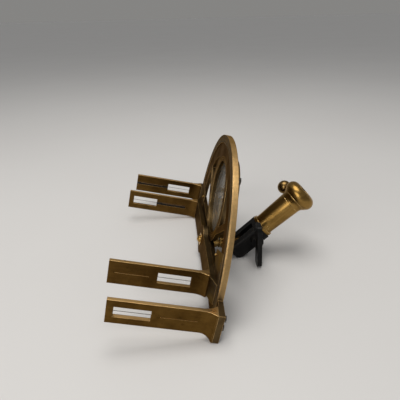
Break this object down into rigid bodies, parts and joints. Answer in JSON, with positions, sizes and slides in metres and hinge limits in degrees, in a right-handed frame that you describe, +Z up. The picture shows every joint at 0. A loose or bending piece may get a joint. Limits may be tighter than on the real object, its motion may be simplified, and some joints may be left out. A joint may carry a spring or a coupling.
{
  "type": "graphometer",
  "caption": "Half-circle surveying angle measurer with upright slit-and-window sights, a turning alidade, a compass and a ball-jointed staff socket.",
  "frame": {"origin": "middle of the bounding box's bottom face, on the surface the instrument lies on", "axes": "+Z up, +Y along the half circle's diameter towards its far end, sights towards -X, staff socket towards +X"},
  "size_m": [0.1986, 0.255, 0.124],
  "materials": {
    "limb_brass": "aged, satin",
    "scale_brass": "satin, engraved scale",
    "sight_brass": "aged, satin, bright edges",
    "alidade_brass": "aged, satin",
    "fitting_brass": "polished",
    "socket_brass": "polished, worn",
    "box_brass": "aged, satin",
    "dial_silver": "silvered, engraved",
    "compass_glass": "clear",
    "blued_steel": "blued",
    "black_iron": "satin black",
    "screw_steel": "dark, worn",
    "sight_wire": "dark wire"
  },
  "bodies": {
    "limb": {"limb_plate": "limb_brass", "graduated_arc": "scale_brass", "arc_screws": "screw_steel", "near_fixed_sight": "sight_brass", "far_fixed_sight": "sight_brass", "fixed_sight_screws": "screw_steel", "near_fixed_hair": "sight_wire", "far_fixed_hair": "sight_wire", "pivot_pin": "screw_steel", "pivot_screw": "fitting_brass", "compass_box": "box_brass", "compass_box_screws": "screw_steel", "compass_bezel": "fitting_brass", "compass_glass": "compass_glass", "compass_dial": "dial_silver", "needle_pivot": "screw_steel", "lifter_bracket": "fitting_brass", "stem_boss": "fitting_brass", "stem_keeper": "screw_steel"},
    "alidade": {"alidade_bar": "alidade_brass", "alidade_washer": "alidade_brass", "near_vernier": "scale_brass", "far_vernier": "scale_brass", "vernier_knobs": "fitting_brass", "near_alidade_sight": "sight_brass", "far_alidade_sight": "sight_brass", "alidade_sight_screws": "screw_steel", "near_alidade_hair": "sight_wire", "far_alidade_hair": "sight_wire"},
    "needle": {"compass_needle": "blued_steel", "needle_cap": "fitting_brass"},
    "lifter": {"needle_lifter": "fitting_brass"},
    "lifter_screw": {"lifter_screw": "fitting_brass"},
    "ball": {"ball_stem": "fitting_brass"},
    "socket": {"fixed_jaw": "black_iron", "socket_tube": "socket_brass", "socket_collar": "socket_brass", "socket_rivets": "socket_brass"},
    "clamp_jaw": {"clamp_jaw": "black_iron"},
    "wing": {"wing_screw": "black_iron"},
    "socket_clamp": {"clamp_screw": "socket_brass"}
  },
  "joints": [
    {"name": "alidade_turn", "type": "hinge", "parent": "limb", "child": "alidade", "pos_m": [-0.00967, 0, 0.01663], "axis": [-0.9763, 0, 0.2164], "continuous": true},
    {"name": "needle_swing", "type": "hinge", "parent": "limb", "child": "needle", "pos_m": [0.01307, 0, 0.06331], "axis": [-0.9763, 0, 0.2164], "continuous": true},
    {"name": "lifter_raise", "type": "hinge", "parent": "limb", "child": "lifter", "pos_m": [0.012, 0.025, 0.06355], "axis": [-0.2164, 0, -0.9763], "range_deg": [0, 2.12]},
    {"name": "lifter_screw_turn", "type": "hinge", "parent": "limb", "child": "lifter_screw", "pos_m": [0.01502, 0.015, 0.06288], "axis": [-0.9763, 0, 0.2164], "range_deg": [0, 300]},
    {"name": "stem_turn", "type": "hinge", "parent": "limb", "child": "ball", "pos_m": [0.02596, 0, 0.00873], "axis": [-0.9763, 0, 0.2164], "continuous": true},
    {"name": "ball_tilt", "type": "hinge", "parent": "ball", "child": "socket", "pos_m": [0.02596, 0, 0.00873], "axis": [0, -1, 0], "range_deg": [-54.7, 20]},
    {"name": "jaw_release", "type": "slide", "parent": "socket", "child": "clamp_jaw", "axis": [0, -1, 0], "range_m": [0, 0.00125]},
    {"name": "wing_turn", "type": "hinge", "parent": "clamp_jaw", "child": "wing", "pos_m": [0.04145, -0.013, 0.02277], "axis": [0, -1, 0], "range_deg": [0, 451]},
    {"name": "socket_clamp_turn", "type": "hinge", "parent": "socket", "child": "socket_clamp", "pos_m": [0.07748, 0.01427, 0.0617], "axis": [-0.2076, 0.9511, 0.2289], "range_deg": [0, 360]}
  ],
  "couplings": [
    {"joint": "lifter_raise", "follows": "lifter_screw_turn", "ratio": 0.007},
    {"joint": "wing_turn", "follows": "jaw_release", "rad_per_m": 6283.2}
  ]
}
